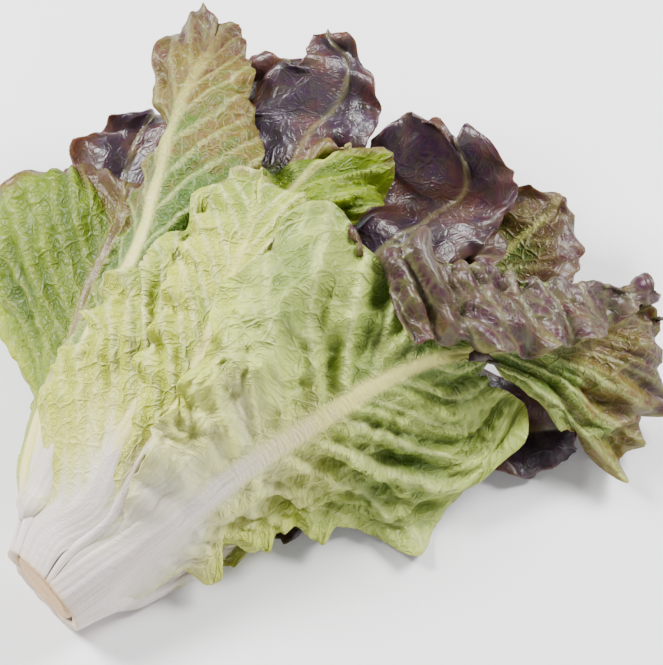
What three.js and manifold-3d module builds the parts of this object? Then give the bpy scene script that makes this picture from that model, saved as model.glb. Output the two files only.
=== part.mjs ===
// A head of red leaf lettuce, cut and laid on its side: leaves that each grow from the stem core.
// Millimetres, +Z up. +X runs from the cut stem to the leaf tips, and +Y is the head's left.
import * as THREE from "three";
import { mergeVertices } from "three/addons/utils/BufferGeometryUtils.js";
import Module from "manifold-3d";

const wasm = await Module();
wasm.setup();

// ---- Driving dimensions ----
const stemHeight = 21; // the stem's axis above the table, at the cut
const bladeThickness = 1.2;
const clearance = 0.35; // air left between one leaf and the next
const bow = 0.1; // how far a plain half of a blade arches, as a share of its width
const flare = 0.43; // growth of the head's radius for each millimetre along the stem
const cutSlant = 0.22; // the cut runs this much further along the stem for each millimetre to the left
const seatLength = 12; // the straight foot of a petiole
const petioleFade = 95; // distance over which a petiole thins to the blade
const looseFrom = 40; // a leaf is held by the stem up to here, and lies freely after looseTo
const looseTo = 75;
const cell = 3; // grid of the height map that the leaves are laid on
const cutTolerance = 0.05; // how far a cut surface may be simplified
const rowSpacing = 14;
const fineRowSpacing = 9;

// Rings of petioles around the stem core: where they start, their radius and their thickness.
const rings = {
  outer: { x: 0.6, radius: 18.5, thickness: 4.6 },
  second: { x: 12, radius: 14.4, thickness: 3.2 },
  third: { x: 30, radius: 10, thickness: 2.6 },
  heart: { x: 50, radius: 6, thickness: 2 },
};

// The core's radius, as [x, radius] from the cut face to the growing point.
const coreProfile = [
  [0, 14.6],
  [1, 15.6],
  [8, 15.4],
  [12, 12.3],
  [27, 11.6],
  [30, 8.2],
  [46, 7.4],
  [50, 4.6],
  [66, 3],
];

const colours = {
  core: 0xd6bea9,
  paleRib: 0xd9d3b4,
  paleGreen: 0xc2c58c,
  green: 0x8a9650,
  brightGreen: 0x8b9646,
  olive: 0x74663f,
  purple: 0x6a5465,
  darkPurple: 0x48323c,
};

const up = new THREE.Vector3(0, 0, 1);
const V = (p) => new THREE.Vector3(...p);
const smooth = (a, b, x) => THREE.MathUtils.smoothstep(x, a, b);

// ---- The lines that a leaf is drawn by ----

// A point on a ring: angle 0 is the top of the stem, and angles grow towards +Y.
function onRing(x, radius, angle) {
  const a = THREE.MathUtils.degToRad(angle);
  const y = radius * Math.sin(a);
  return V([x + cutSlant * y, y, stemHeight + radius * Math.cos(a)]);
}

// The foot of a petiole: two rows of five points on the flaring ring.
// A leaf with inwards set shows its inner face upwards, as those below the stem do.
function seatRows({ ring, angle, spread, inwards }) {
  const { x, radius } = rings[ring];
  const way = inwards ? -1 : 1;
  return [0, seatLength].map((step) =>
    [1, 0.5, 0, -0.5, -1].map((v) =>
      onRing(x + step, radius + flare * step, angle + way * v * spread),
    ),
  );
}

// The middle of a plain half blade, arched upwards.
function arched(a, b) {
  return a.clone().lerp(b, 0.5).addScaledVector(up, bow * a.distanceTo(b));
}

// Rows of five points: left margin, left fold, midrib, right fold, right margin.
function rowsOf(leaf) {
  const rows = seatRows(leaf.seat);
  leaf.rib.forEach((point, i) => {
    const [left, rib, right] = [leaf.left[i], point, leaf.right[i]].map(V);
    const leftFold = leaf.leftFold?.[i] ? V(leaf.leftFold[i]) : arched(left, rib);
    const rightFold = leaf.rightFold?.[i] ? V(leaf.rightFold[i]) : arched(right, rib);
    rows.push([left, leftFold, rib, rightFold, right]);
  });
  return rows;
}

// A plain leaf, drawn by where its tip is, its half width, how far its midrib sags or arches,
// and how far its margins lift.
function plainLeaf({ name, colour, seat, tip, halfWidth, arch = 0, cup = 0.2 }) {
  const foot = seatRows(seat)[1][2];
  const end = V(tip);
  const side = new THREE.Vector3().subVectors(end, foot).cross(up).normalize().negate();
  const shape = { name, colour, seat, hidden: true, rib: [], left: [], right: [] };
  for (const f of [0.2, 0.42, 0.64, 0.84, 1]) {
    const rib = foot.clone().lerp(end, f).addScaledVector(up, arch * 4 * f * (1 - f));
    const reach = halfWidth * Math.min(1, 0.3 + 1.3 * f) * Math.sqrt(Math.max(0.05, 1 - f ** 5));
    const margin = (way) =>
      rib.clone().addScaledVector(side, way * reach).addScaledVector(up, cup * reach);
    shape.rib.push(rib.toArray());
    shape.left.push(margin(1).toArray());
    shape.right.push(margin(-1).toArray());
  }
  return shape;
}

// ---- The leaves, from the table upwards ----

const leaves = [
  plainLeaf({
    name: "under_leaf_left",
    colour: colours.darkPurple,
    seat: { ring: "outer", angle: 178, spread: 21, inwards: true },
    tip: [205, 34, 4],
    halfWidth: 46,
    arch: -6,
    cup: 0.04,
  }),
  plainLeaf({
    name: "under_leaf_centre",
    colour: colours.purple,
    seat: { ring: "outer", angle: 216, spread: 19, inwards: true },
    tip: [220, -26, 5],
    halfWidth: 44,
    arch: -5,
    cup: 0.04,
  }),
  {
    name: "under_leaf_right",
    colour: colours.darkPurple,
    seat: { ring: "outer", angle: 258, spread: 24, inwards: false },
    left: [[30, -27, 14], [76, -38, 10], [130, -60, 10], [173, -76, 12], [188, -106, 16], [190, -124, 18]],
    rib: [[28, -31, 8], [65, -48, 5], [119, -76, 5], [160, -99, 5], [178, -122, 8], [186, -132, 12]],
    right: [[21, -31, 4], [52, -45, 3], [94, -74, 3], [146, -114, 4], [167, -136, 6], [180, -140, 10]],
  },
  {
    name: "back_left_leaf",
    colour: colours.darkPurple,
    seat: { ring: "outer", angle: 137, spread: 22, inwards: true },
    left: [[50, 44, 8], [84, 74, 6], [122, 94, 14], [148, 107, 24], [173, 106, 32], [188, 96, 36]],
    rib: [[54, 38, 10], [92, 56, 12], [127, 67, 18], [153, 77, 26], [177, 86, 32], [195, 89, 36]],
    right: [[55, 30, 12], [98, 38, 14], [135, 41, 20], [172, 52, 28], [196, 66, 34], [202, 78, 36]],
  },
  plainLeaf({
    name: "inner_leaf_low_left",
    colour: colours.purple,
    seat: { ring: "second", angle: 150, spread: 40, inwards: true },
    tip: [206, 40, 14],
    halfWidth: 40,
    arch: -4,
    cup: 0.15,
  }),
  plainLeaf({
    name: "inner_leaf_low_right",
    colour: colours.purple,
    seat: { ring: "second", angle: 235, spread: 40, inwards: true },
    tip: [212, -62, 14],
    halfWidth: 36,
    arch: -4,
    cup: 0.15,
  }),
  {
    name: "left_leaf",
    colour: colours.brightGreen,
    seat: { ring: "outer", angle: 91, spread: 22, inwards: false },
    left: [
      [36, 41, 14], [69, 60, 10], [86, 92, 8], [104, 122, 12],
      [132, 121, 26], [153, 110, 32], [156, 90, 36],
    ],
    rib: [
      [38, 35, 26], [66, 47, 30], [90, 53, 32], [111, 61, 34],
      [131, 65, 38], [145, 68, 41], [158, 74, 42],
    ],
    right: [
      [37, 28, 34], [72, 32, 37], [96, 33, 38], [119, 38, 39],
      [138, 44, 41], [152, 54, 42], [162, 64, 43],
    ],
  },
  {
    name: "rib_leaf",
    colour: colours.olive,
    seat: { ring: "second", angle: -74, spread: 30, inwards: false },
    left: [
      [66, -14, 22], [120, -25, 20], [177, -36, 22], [217, -49, 26],
      [236, -54, 30], [249, -56, 36], [256, -64, 40],
    ],
    rib: [
      [64, -26, 20], [116, -39, 19], [174, -51, 21], [213, -65, 26],
      [236, -72, 31], [252, -76, 36], [259, -76, 39],
    ],
    right: [
      [62, -36, 18], [112, -52, 18], [166, -69, 20], [207, -84, 24],
      [230, -99, 27], [249, -96, 32], [258, -86, 36],
    ],
  },
  plainLeaf({
    name: "inner_leaf_middle",
    colour: colours.darkPurple,
    seat: { ring: "second", angle: -40, spread: 14, inwards: false },
    tip: [226, 2, 30],
    halfWidth: 34,
    arch: 2,
    cup: 0.2,
  }),
  {
    name: "blush_leaf",
    colour: colours.olive,
    seat: { ring: "second", angle: -15, spread: 15, inwards: false },
    left: [[60, -2, 30], [114, -11, 31], [164, -15, 33], [194, -22, 36], [212, -30, 40], [222, -40, 43]],
    rib: [[58, -14, 30], [114, -25, 31], [163, -32, 33], [196, -44, 36], [216, -54, 41], [227, -60, 45]],
    right: [[56, -24, 27], [115, -38, 29], [162, -48, 31], [193, -62, 34], [213, -72, 39], [226, -72, 43]],
  },
  {
    name: "roll_leaf",
    colour: colours.purple,
    seat: { ring: "second", angle: 14, spread: 16, inwards: false },
    left: [
      [62, 2, 36], [103, -2, 38], [157, -4, 40], [197, -6, 42],
      [222, -10, 48], [231, -6, 66], [239, -13, 74], [240, -24, 77],
    ],
    leftFold: { 5: [224, -18, 57] },
    rib: [
      [60, -10, 36], [101, -17, 37], [155, -26, 39], [196, -34, 41],
      [220, -41, 44], [230, -46, 52], [236, -43, 65], [240, -33, 75],
    ],
    rightFold: { 5: [232, -62, 49] },
    right: [
      [60, -20, 33], [100, -31, 35], [151, -45, 37], [192, -57, 39],
      [218, -66, 42], [240, -65, 54], [245, -60, 66], [247, -36, 76],
    ],
  },
  ...[
    ["heart_leaf_one", "third", 215, 60, [150, -20, 36], 28],
    ["heart_leaf_two", "third", 90, 55, [158, 14, 44], 28],
    ["heart_leaf_three", "heart", 180, 60, [128, 6, 44], 18],
    ["heart_leaf_four", "heart", 0, 60, [120, -6, 50], 16],
  ].map(([name, ring, angle, spread, tip, halfWidth]) =>
    plainLeaf({
      name,
      colour: colours.paleGreen,
      seat: { ring, angle, spread, inwards: angle > 80 },
      tip,
      halfWidth,
      cup: angle > 80 ? 0.35 : -0.3,
    }),
  ),
  plainLeaf({
    name: "inner_leaf_upper_left",
    colour: colours.purple,
    seat: { ring: "second", angle: 112, spread: 12, inwards: true },
    tip: [204, 36, 48],
    halfWidth: 22,
    arch: 4,
    cup: 0.1,
  }),
  {
    name: "curled_leaf",
    colour: colours.darkPurple,
    seat: { ring: "second", angle: 82, spread: 16, inwards: false },
    left: [[62, 16, 40], [110, 26, 50], [152, 39, 58], [187, 49, 64], [212, 54, 69], [226, 54, 73]],
    rib: [[66, 8, 43], [120, 13, 54], [163, 24, 61], [197, 34, 65], [219, 37, 69], [229, 42, 75]],
    right: [[72, 0, 43], [129, -5, 52], [175, 2, 59], [209, 12, 62], [225, 21, 68], [236, 32, 75]],
  },
  {
    name: "top_leaf",
    colour: colours.purple,
    seat: { ring: "second", angle: 48, spread: 16, inwards: false },
    left: [
      [72, 8, 42], [121, 15, 50], [163, 27, 56], [201, 41, 61],
      [213, 43, 72], [227, 34, 80], [244, 41, 80],
    ],
    rib: [
      [76, -1, 44], [133, -1, 53], [180, 12, 58], [213, 18, 61],
      [229, 16, 67], [240, 19, 74], [249, 35, 79],
    ],
    right: [
      [82, -12, 42], [142, -23, 50], [185, -13, 56], [213, -4, 58],
      [231, -3, 66], [241, 6, 75], [250, 25, 79],
    ],
  },
  {
    name: "frill_leaf",
    colour: colours.brightGreen,
    seat: { ring: "third", angle: 5, spread: 45, inwards: false },
    left: [[74, 12, 50], [108, 22, 60], [142, 29, 68], [167, 30, 72], [184, 22, 74], [200, 10, 74]],
    rib: [[74, 0, 53], [112, 6, 64], [155, 8, 71], [182, 6, 75], [201, 3, 75], [211, -2, 74]],
    right: [[72, -12, 48], [119, -13, 59], [168, -17, 67], [195, -25, 70], [211, -24, 71], [219, -14, 73]],
  },
  {
    name: "tall_leaf",
    colour: colours.green,
    seat: { ring: "outer", angle: 47, spread: 10, inwards: false },
    left: [
      [34, 30, 37], [63, 42, 43], [89, 46, 49], [115, 52, 57], [143, 60, 63],
      [173, 67, 70], [190, 84, 74], [212, 91, 74], [231, 86, 73],
    ],
    rib: [
      [34, 25, 43], [65, 37, 53], [95, 39, 63], [120, 41, 72], [148, 50, 78],
      [175, 61, 82], [193, 66, 82], [209, 69, 80], [227, 76, 76],
    ],
    right: [
      [40, 16, 47], [68, 17, 58], [98, 14, 68], [127, 15, 76], [159, 15, 82],
      [185, 23, 84], [204, 42, 82], [220, 53, 79], [232, 69, 75],
    ],
  },
  {
    name: "torn_petiole",
    colour: colours.paleRib,
    seat: { ring: "outer", angle: 63, spread: 6, inwards: false },
    left: [[20, 25, 40], [31, 27, 43], [43, 29, 45], [49, 28, 47]],
    rib: [[19, 20, 41], [29, 20, 45], [41, 22, 49], [51, 24, 50]],
    right: [[19, 15, 42], [27, 13, 46], [40, 17, 49], [52, 22, 50]],
  },
  {
    name: "centre_leaf",
    colour: colours.paleGreen,
    seat: { ring: "outer", angle: 14, spread: 24, inwards: false },
    left: [[28, 16, 45], [57, 42, 48], [80, 42, 58], [101, 43, 66], [127, 32, 76], [161, 30, 79]],
    rib: [[31, -3, 53], [58, 0, 65], [85, 2, 75], [114, 5, 82], [140, 7, 85], [166, 10, 83]],
    right: [[30, -22, 43], [60, -27, 54], [95, -29, 65], [133, -34, 73], [162, -34, 76], [179, -15, 78]],
  },
  {
    name: "fold_leaf",
    colour: colours.paleGreen,
    seat: { ring: "outer", angle: -14.5, spread: 4, inwards: false },
    left: [
      [29, -9, 50], [53, -3, 62], [79, 5, 72], [96, 13, 78],
      [121, 19, 82], [143, 23, 83], [169, 23, 82],
    ],
    rib: [
      [31, -12, 52], [58, -12, 64], [82, -13, 74], [102, -9, 80],
      [127, -2, 84], [151, 5, 85], [172, 14, 83],
    ],
    right: [
      [32, -15, 50], [64, -22, 62], [91, -31, 70], [117, -27, 76],
      [142, -21, 80], [168, -13, 82], [178, 4, 83],
    ],
  },
  {
    name: "front_leaf",
    colour: colours.green,
    fine: true,
    seat: { ring: "outer", angle: -53, spread: 34, inwards: false },
    left: [
      [27, -13, 47], [51, -15, 58], [77, -12, 68], [110, -8, 75], [147, -3, 79], [179, -20, 80],
      [156, -60, 80], [160, -88, 76], [178, -112, 69], [203, -128, 60], [237, -133, 47],
    ],
    leftFold: {
      6: [181, -47, 85], 7: [189, -69, 82], 8: [204, -95, 75], 9: [223, -117, 64], 10: [240, -131, 50],
    },
    rib: [
      [31, -27, 40], [59, -36, 46], [87, -46, 52], [114, -58, 57], [137, -68, 60], [152, -77, 62],
      [163, -86, 62], [178, -99, 58], [198, -115, 52], [218, -126, 46], [240, -135, 40],
    ],
    rightFold: { 5: [145, -106, 28], 8: [190, -136, 34], 9: [211, -148, 30], 10: [238, -139, 36] },
    right: [
      [18, -28, 13], [42, -43, 9], [70, -58, 6], [91, -86, 4], [117, -112, 4], [167, -119, 34],
      [167, -96, 46], [176, -125, 34], [180, -154, 10], [207, -157, 12], [233, -144, 30],
    ],
  },
];

// ---- Surfaces ----

// A smooth curve through points at the given parameters: cubic pieces whose slope at each point
// is the weighted mean of the slopes on either side of it.
function curve(points, at, t) {
  const last = points.length - 1;
  let i = 0;
  while (i < last - 1 && t > at[i + 1]) i++;
  const slope = (k) =>
    new THREE.Vector3().subVectors(points[k + 1], points[k]).divideScalar(at[k + 1] - at[k]);
  const tangent = (k) => {
    if (k === 0) return slope(0);
    if (k === last) return slope(last - 1);
    const share = (at[k] - at[k - 1]) / (at[k + 1] - at[k - 1]);
    return slope(k - 1).lerp(slope(k), share);
  };
  const h = at[i + 1] - at[i];
  const f = THREE.MathUtils.clamp((t - at[i]) / h, 0, 1);
  const f2 = f * f;
  const f3 = f2 * f;
  return new THREE.Vector3()
    .addScaledVector(points[i], 2 * f3 - 3 * f2 + 1)
    .addScaledVector(tangent(i), h * (f3 - 2 * f2 + f))
    .addScaledVector(points[i + 1], 3 * f2 - 2 * f3)
    .addScaledVector(tangent(i + 1), h * (f3 - f2));
}

// The leaf's middle surface as a grid of points, with each point's thickness.
function gridOf(leaf) {
  const rows = rowsOf(leaf);
  const at = [0];
  for (let i = 1; i < rows.length; i++) at.push(at[i - 1] + rows[i][2].distanceTo(rows[i - 1][2]));
  const length = at.at(-1);
  const count = Math.round(length / (leaf.fine ? fineRowSpacing : rowSpacing)) + 1;
  const columns = leaf.fine ? 11 : leaf.hidden ? 6 : 8;
  const petiole = rings[leaf.seat.ring].thickness;
  const points = [];
  const thickness = [];
  for (let i = 0; i < count; i++) {
    const s = (length * i) / (count - 1);
    const row = [0, 1, 2, 3, 4].map((k) => curve(rows.map((r) => r[k]), at, s));
    const widths = [0, 0.5, 1, 1.5, 2];
    const thin = smooth(0, petioleFade, s);
    points.push([]);
    thickness.push([]);
    for (let j = 0; j < columns; j++) {
      const v = (2 * j) / (columns - 1);
      points[i].push(curve(row, widths, v));
      const side = Math.abs(v - 1);
      thickness[i].push(THREE.MathUtils.lerp(petiole * (1 - 0.4 * side * side), bladeThickness, thin));
    }
  }
  return { points, thickness, length };
}

// ---- Laying the leaves on each other ----

const heights = new Map();
const cellOf = (x, y) => `${Math.round(x / cell)},${Math.round(y / cell)}`;

// The highest surface laid so far within one cell of a place.
function groundAt(x, y) {
  let top = 0;
  for (const dx of [-cell, 0, cell])
    for (const dy of [-cell, 0, cell]) top = Math.max(top, heights.get(cellOf(x + dx, y + dy)) ?? 0);
  return top;
}

// Each grid value becomes the largest, or the mean, of itself and its neighbours.
function pooled(grid, join) {
  return grid.map((row, i) =>
    row.map((_, j) => {
      const near = [];
      for (const di of [-1, 0, 1])
        for (const dj of [-1, 0, 1]) {
          const height = grid[i + di]?.[j + dj];
          if (height !== undefined) near.push(height);
        }
      return join(near);
    }),
  );
}

const largest = (values) => Math.max(...values);
const mean = (values) => values.reduce((a, b) => a + b, 0) / values.length;

// Lifts a leaf off what lies below it, smoothly, and off the table.
function lay({ points, thickness, length }) {
  const rowsCount = points.length;
  let lift = points.map((row, i) =>
    row.map((p, j) => {
      const free = smooth(looseFrom, looseTo, (length * i) / (rowsCount - 1));
      const low = groundAt(p.x, p.y) + clearance + thickness[i][j] / 2;
      return free * Math.max(0, low - p.z);
    }),
  );
  lift = pooled(pooled(lift, largest), mean);
  points.forEach((row, i) =>
    row.forEach((p, j) => {
      p.z = Math.max(p.z + lift[i][j], thickness[i][j] / 2 + 0.02);
    }),
  );
}

// Marks the leaf's upper surface on the height map.
function mark({ points, thickness }) {
  for (let i = 0; i + 1 < points.length; i++)
    for (let j = 0; j + 1 < points[i].length; j++) {
      const [a, b, c, d] = [points[i][j], points[i][j + 1], points[i + 1][j], points[i + 1][j + 1]];
      const size = Math.max(a.distanceTo(d), b.distanceTo(c));
      const steps = Math.ceil(size / cell);
      for (let m = 0; m <= steps; m++)
        for (let n = 0; n <= steps; n++) {
          const near = a.clone().lerp(b, n / steps);
          const p = near.lerp(c.clone().lerp(d, n / steps), m / steps);
          const key = cellOf(p.x, p.y);
          heights.set(key, Math.max(heights.get(key) ?? 0, p.z + thickness[i][j] / 2));
        }
    }
}

// ---- Solids ----

// The closed shell around a grid: its upper and lower faces, and a rim that joins them.
function shellOf({ points, thickness }, grow = 0) {
  const [m, n] = [points.length, points[0].length];
  const normal = (i, j) => {
    const along = points[Math.min(i + 1, m - 1)][j].clone().sub(points[Math.max(i - 1, 0)][j]);
    const across = points[i][Math.min(j + 1, n - 1)].clone().sub(points[i][Math.max(j - 1, 0)]);
    return across.cross(along).normalize();
  };
  // A grown shell also reaches past the leaf's own edges.
  const beyond = (i, j) => {
    const inner = points[Math.min(Math.max(i, 1), m - 2)][Math.min(Math.max(j, 1), n - 2)];
    const out = points[i][j].clone().sub(inner);
    return out.length() > 0 ? out.setLength(2 * grow) : out;
  };
  const vertices = [];
  for (const way of [1, -1])
    for (let i = 0; i < m; i++)
      for (let j = 0; j < n; j++) {
        const off = way * (thickness[i][j] / 2 + grow);
        const p = points[i][j].clone().addScaledVector(normal(i, j), off).add(beyond(i, j));
        vertices.push(...p.toArray());
      }
  const top = (i, j) => i * n + j;
  const bottom = (i, j) => m * n + i * n + j;
  const triangles = [];
  const quad = (a, b, c, d) => triangles.push(a, b, c, a, c, d);
  for (let i = 0; i + 1 < m; i++)
    for (let j = 0; j + 1 < n; j++) {
      quad(top(i, j), top(i, j + 1), top(i + 1, j + 1), top(i + 1, j));
      quad(bottom(i, j), bottom(i + 1, j), bottom(i + 1, j + 1), bottom(i, j + 1));
    }
  for (let i = 0; i + 1 < m; i++) {
    quad(top(i, 0), top(i + 1, 0), bottom(i + 1, 0), bottom(i, 0));
    quad(top(i + 1, n - 1), top(i, n - 1), bottom(i, n - 1), bottom(i + 1, n - 1));
  }
  for (let j = 0; j + 1 < n; j++) {
    quad(top(0, j + 1), top(0, j), bottom(0, j), bottom(0, j + 1));
    quad(top(m - 1, j), top(m - 1, j + 1), bottom(m - 1, j + 1), bottom(m - 1, j));
  }
  return solid(vertices, triangles);
}

function solid(vertices, triangles) {
  return new wasm.Manifold(
    new wasm.Mesh({
      numProp: 3,
      vertProperties: new Float32Array(vertices),
      triVerts: new Uint32Array(triangles),
    }),
  );
}

// A closed geometry as a solid, once only its positions are left and they are shared.
function solidOf(geometry) {
  const bare = geometry.clone().deleteAttribute("normal").deleteAttribute("uv");
  const merged = mergeVertices(bare);
  return solid(merged.attributes.position.array, merged.index.array);
}

function geometryOf(shape) {
  const { vertProperties, triVerts } = shape.getMesh();
  const geometry = new THREE.BufferGeometry();
  geometry.setAttribute("position", new THREE.BufferAttribute(vertProperties, 3));
  geometry.setIndex(new THREE.BufferAttribute(triVerts, 1));
  geometry.computeVertexNormals();
  return geometry;
}

// The largest separate body of a cut leaf, without the crumbs of the cut.
function wholeOf(shape) {
  return shape.decompose().reduce((a, b) => (a.volume() > b.volume() ? a : b));
}

function piece(name, geometry, colour, roughness) {
  const material = new THREE.MeshStandardMaterial({ color: colour, roughness, metalness: 0 });
  const mesh = new THREE.Mesh(geometry, material);
  mesh.name = name;
  return mesh;
}

// The stem core is turned about +Y, then laid along +X.
function coreGeometry(grow = 0) {
  const outline = [
    new THREE.Vector2(0, -grow),
    ...coreProfile.map(([x, radius]) => new THREE.Vector2(radius + grow, x)),
    new THREE.Vector2(0, coreProfile.at(-1)[0] + 1 + grow),
  ];
  const geometry = new THREE.LatheGeometry(outline, 24);
  geometry.rotateZ(-Math.PI / 2);
  geometry.applyMatrix4(new THREE.Matrix4().makeShear(cutSlant, 0, 0, 0, 0, 0));
  geometry.translate(0, 0, stemHeight);
  return geometry;
}

// ---- The head ----

const head = new THREE.Group();
head.add(piece("stem_core", coreGeometry(), colours.core, 0.6));

const laid = leaves.map((leaf) => {
  const grid = gridOf(leaf);
  lay(grid);
  mark(grid);
  return { leaf, grid };
});

// From the top leaf down, each leaf gives way to the core and to the leaves already in place.
// Around a tight fold a grown shell can miss part of its leaf, so the leaf itself is cut away too.
const placed = [solidOf(coreGeometry(clearance))];
const finished = [];
for (const { leaf, grid } of laid.reverse()) {
  let shape = shellOf(grid);
  for (const other of placed) shape = shape.subtract(other);
  for (const other of finished)
    if (shape.intersect(other).volume() > 0) shape = shape.subtract(other);
  shape = wholeOf(shape).simplify(cutTolerance);
  placed.push(shellOf(grid, clearance));
  finished.push(shape);
  head.add(piece(leaf.name, geometryOf(shape), leaf.colour, 0.5));
}

// The origin is on the table, below the middle of the head's box.
const box = new THREE.Box3().setFromObject(head);
const middle = box.getCenter(new THREE.Vector3());
head.position.set(-middle.x, -middle.y, -box.min.z);

export default head;
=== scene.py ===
# %% [markdown]
# # A head of red leaf lettuce
#
# The head lies on its side, as cut. Each leaf is a wide thin sheet on a thick white petiole, and
# all of them grow in rings from one short stem core. The leaves could be sculpted by hand, but a
# sheet whose shape is a function of two numbers, along and across, can be given its veins,
# puckers and frills by formulas in real millimetres. So every leaf here is a grid worked out
# with numpy, and the finish reads masks that the same formulas leave on the mesh.

import bmesh
import bpy
import numpy as np
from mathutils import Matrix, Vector


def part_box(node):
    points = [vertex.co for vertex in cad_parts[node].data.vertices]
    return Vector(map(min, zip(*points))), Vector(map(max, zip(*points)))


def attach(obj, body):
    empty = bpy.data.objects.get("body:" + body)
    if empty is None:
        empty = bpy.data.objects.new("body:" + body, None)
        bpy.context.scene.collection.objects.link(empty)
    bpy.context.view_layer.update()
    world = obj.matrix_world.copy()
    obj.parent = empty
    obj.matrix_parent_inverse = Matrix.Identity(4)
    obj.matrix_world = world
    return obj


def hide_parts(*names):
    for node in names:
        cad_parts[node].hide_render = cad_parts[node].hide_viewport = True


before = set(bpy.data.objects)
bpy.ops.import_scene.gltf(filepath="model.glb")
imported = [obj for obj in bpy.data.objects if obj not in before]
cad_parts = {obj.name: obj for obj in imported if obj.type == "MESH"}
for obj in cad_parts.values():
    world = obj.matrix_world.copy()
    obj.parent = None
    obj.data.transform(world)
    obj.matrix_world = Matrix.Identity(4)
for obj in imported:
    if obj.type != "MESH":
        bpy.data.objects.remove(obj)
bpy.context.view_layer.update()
MM = 0.001

# %% [markdown]
# ## Where the head lies
#
# The leaves are drawn in the head's own axes: x runs along the stem from the cut, y to the left
# and z up from the table. The stem core is never trimmed by a leaf, so its box gives the place
# of these axes in the frame.

# %% The head's own axes
STEM_HEIGHT = 21.0
CUT_SLANT = 0.22
CUT_RADIUS = 14.6
core_low, core_high = (np.array(corner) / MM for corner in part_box("stem_core"))
middle = (core_low + core_high) / 2
HEAD_ORIGIN = np.array([core_low[0] + CUT_SLANT * CUT_RADIUS, middle[1], middle[2] - STEM_HEIGHT])
print("head origin in the frame, mm:", np.round(HEAD_ORIGIN, 2).tolist())


def placed(points):
    """Head axes in millimetres become frame axes in metres: add the head's origin, then scale."""
    return (np.asarray(points) + HEAD_ORIGIN) * MM


# %% [markdown]
# ## Small tools: steps and noise
#
# Nothing on a leaf repeats exactly. Smooth noise bends every regular formula a little: random
# values sit on a square lattice and are blended between its corners.


# %% Steps and noise
def step(low, high, x):
    """A smooth step: 0 below low, 1 above high, and 3f^2 - 2f^3 of the share f between."""
    f = np.clip((x - low) / (high - low), 0, 1)
    return f * f * (3 - 2 * f)


def lattice(ix, iy, seed):
    """A fixed random value in [-1, 1] for each lattice corner, from mixed integer products."""
    n = (ix * 374761393 + iy * 668265263 + seed * 1274126177) & 0xFFFFFFFF
    n = ((n ^ (n >> 13)) * 1103515245) & 0xFFFFFFFF
    n = ((n ^ (n >> 16)) * 2246822519) & 0xFFFFFFFF
    return (n ^ (n >> 15)).astype(float) / 0x7FFFFFFF - 1


def noise(x, y, seed):
    """Lattice values blended by a fifth-degree step in x and in y, about one bump per unit."""
    x, y = np.broadcast_arrays(np.asarray(x, float), np.asarray(y, float))
    ix, iy = np.floor(x).astype(np.int64), np.floor(y).astype(np.int64)
    fx, fy = x - ix, y - iy
    fx = fx**3 * (fx * (6 * fx - 15) + 10)
    fy = fy**3 * (fy * (6 * fy - 15) + 10)
    near = lattice(ix, iy, seed) * (1 - fx) + lattice(ix + 1, iy, seed) * fx
    far = lattice(ix, iy + 1, seed) * (1 - fx) + lattice(ix + 1, iy + 1, seed) * fx
    return near * (1 - fy) + far * fy


def layered(x, y, seed, layers=3):
    """Noise plus finer noise of half the height, and so on."""
    return sum(noise(x * 2**k, y * 2**k, seed + k) / 2**k for k in range(layers))


# %% [markdown]
# ## How a leaf is drawn
#
# A leaf is five lines that run from its foot to its tip: left margin, left fold, midrib, right
# fold and right margin. Cubic pieces join their points along the leaf, and the same cubic joins
# the five lines across it. A fold line is only stated where the blade rolls over. Elsewhere it
# is the arched middle of its half. The feet sit on rings around the stem, and the rings flare.

# %% Rings and lines
FLARE = 0.43
SEAT_LENGTH = 12.0
BOW = 0.1
RINGS = {
    "outer": {"x": 0.6, "radius": 18.5, "thickness": 4.6},
    "second": {"x": 12, "radius": 14.4, "thickness": 3.2},
    "third": {"x": 30, "radius": 10, "thickness": 2.6},
    "heart": {"x": 50, "radius": 6, "thickness": 2.0},
}


def seat_rows(seat):
    """Two rows of five points on a ring: x grows with y by the slant, and the radius by the flare."""
    ring, angle, spread, inwards = seat
    turn = np.radians(angle + (-1 if inwards else 1) * spread * np.array([1, 0.5, 0, -0.5, -1]))
    rows = []
    for along in (0, SEAT_LENGTH):
        radius = RINGS[ring]["radius"] + FLARE * along
        y = radius * np.sin(turn)
        x = RINGS[ring]["x"] + along + CUT_SLANT * y
        rows.append(np.stack([x, y, STEM_HEIGHT + radius * np.cos(turn)], -1))
    return rows


def arched(a, b):
    """The middle of two points, lifted by a tenth of their distance."""
    return (a + b) / 2 + np.array([0, 0, BOW * np.linalg.norm(a - b)])


def rows_of(leaf):
    """The leaf's lines as rows of five points, from its foot to its tip."""
    rows = seat_rows(leaf["seat"])
    for i, points in enumerate(zip(leaf["left"], leaf["rib"], leaf["right"])):
        left, rib, right = (np.array(p, float) for p in points)
        left_fold = np.array(leaf.get("left_fold", {}).get(i, arched(left, rib)), float)
        right_fold = np.array(leaf.get("right_fold", {}).get(i, arched(right, rib)), float)
        rows.append(np.stack([left, left_fold, rib, right_fold, right]))
    return np.stack(rows)


LEAVES = []


def drawn_leaf(name, seat, left, rib, right, **look):
    """Adds a leaf by the points of its left margin, midrib and right margin, from foot to tip."""
    LEAVES.append({"name": name, "seat": seat, "left": left, "rib": rib, "right": right, **look})


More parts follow.
